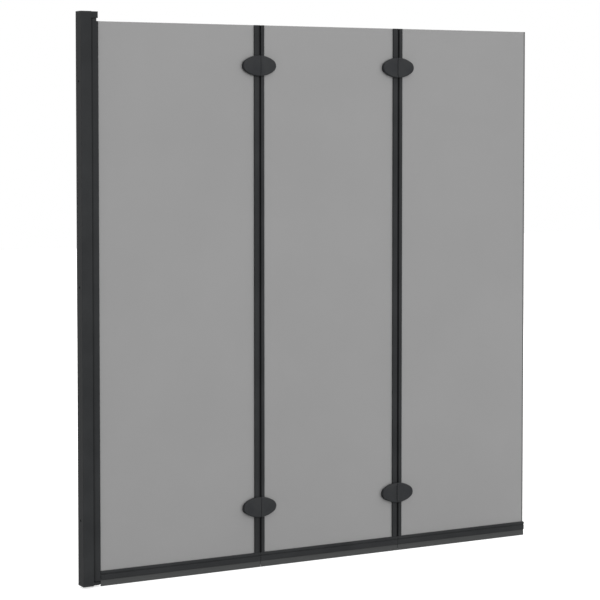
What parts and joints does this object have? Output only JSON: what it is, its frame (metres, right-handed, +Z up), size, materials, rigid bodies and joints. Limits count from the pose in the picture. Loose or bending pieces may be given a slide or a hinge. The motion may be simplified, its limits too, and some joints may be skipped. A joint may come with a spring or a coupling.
{
  "type": "bath shower screen",
  "caption": "Folding glass bath screen with a black wall profile, edge strips, bottom rails and oval clamp hinges.",
  "frame": {"origin": "centre of the flat face of the wall channel that lies on the wall", "axes": "+X along the unfolded screen away from the wall, -Y towards the front face, +Z up"},
  "size_m": [1.301, 0.0348, 1.3861],
  "materials": {
    "black_metal": "satin black powder coat",
    "grey_glass": "grey tempered safety glass",
    "black_rubber": "soft black seal",
    "lip_rubber": "dark grey soft lip",
    "black_nylon": "moulded nylon",
    "steel": "stainless"
  },
  "bodies": {
    "root": {"wall_channel": "black_metal", "adjusting_profile": "black_metal", "top_end_cap": "black_nylon", "bottom_end_cap": "black_nylon", "top_pivot_arm": "black_metal", "bottom_pivot_arm": "black_metal", "top_pivot_pin": "steel", "bottom_pivot_pin": "steel", "adjusting_screws": "steel", "pivot_seal": "black_rubber"},
    "panel_1": {"pivot_profile": "black_metal", "top_pivot_bush": "black_nylon", "bottom_pivot_bush": "black_nylon", "glazing_gasket": "black_rubber", "glass_panel_1": "grey_glass", "edge_strip_1_right": "black_metal", "fold_seal_1": "black_rubber", "bottom_rail_1": "black_metal", "drip_seal_1": "lip_rubber", "hinge_1_top_left_front": "black_metal", "hinge_1_top_left_back": "black_metal", "hinge_1_low_left_front": "black_metal", "hinge_1_low_left_back": "black_metal", "hinge_1_top_pin": "steel", "hinge_1_low_pin": "steel", "hinge_1_left_gaskets": "black_rubber", "hinge_1_left_screws": "steel"},
    "panel_2": {"glass_panel_2": "grey_glass", "edge_strip_2_left": "black_metal", "edge_strip_2_right": "black_metal", "fold_seal_2": "black_rubber", "bottom_rail_2": "black_metal", "drip_seal_2": "lip_rubber", "hinge_1_top_right_front": "black_metal", "hinge_1_top_right_back": "black_metal", "hinge_1_low_right_front": "black_metal", "hinge_1_low_right_back": "black_metal", "hinge_1_right_gaskets": "black_rubber", "hinge_1_right_screws": "steel", "hinge_2_top_left_front": "black_metal", "hinge_2_top_left_back": "black_metal", "hinge_2_low_left_front": "black_metal", "hinge_2_low_left_back": "black_metal", "hinge_2_top_pin": "steel", "hinge_2_low_pin": "steel", "hinge_2_left_gaskets": "black_rubber", "hinge_2_left_screws": "steel"},
    "panel_3": {"glass_panel_3": "grey_glass", "edge_strip_3_left": "black_metal", "bottom_rail_3": "black_metal", "drip_seal_3": "lip_rubber", "hinge_2_top_right_front": "black_metal", "hinge_2_top_right_back": "black_metal", "hinge_2_low_right_front": "black_metal", "hinge_2_low_right_back": "black_metal", "hinge_2_right_gaskets": "black_rubber", "hinge_2_right_screws": "steel"}
  },
  "joints": [
    {"name": "screen_swing", "type": "hinge", "parent": "root", "child": "panel_1", "pos_m": [0.0365, 0, 0], "axis": [0, 0, 1], "range_deg": [-90, 90]},
    {"name": "fold_1", "type": "hinge", "parent": "panel_1", "child": "panel_2", "pos_m": [0.487, 0.014, 0], "axis": [0, 0, 1], "range_deg": [0, 175]},
    {"name": "fold_2", "type": "hinge", "parent": "panel_2", "child": "panel_3", "pos_m": [0.892, -0.014, 0], "axis": [0, 0, -1], "range_deg": [0, 175]}
  ]
}
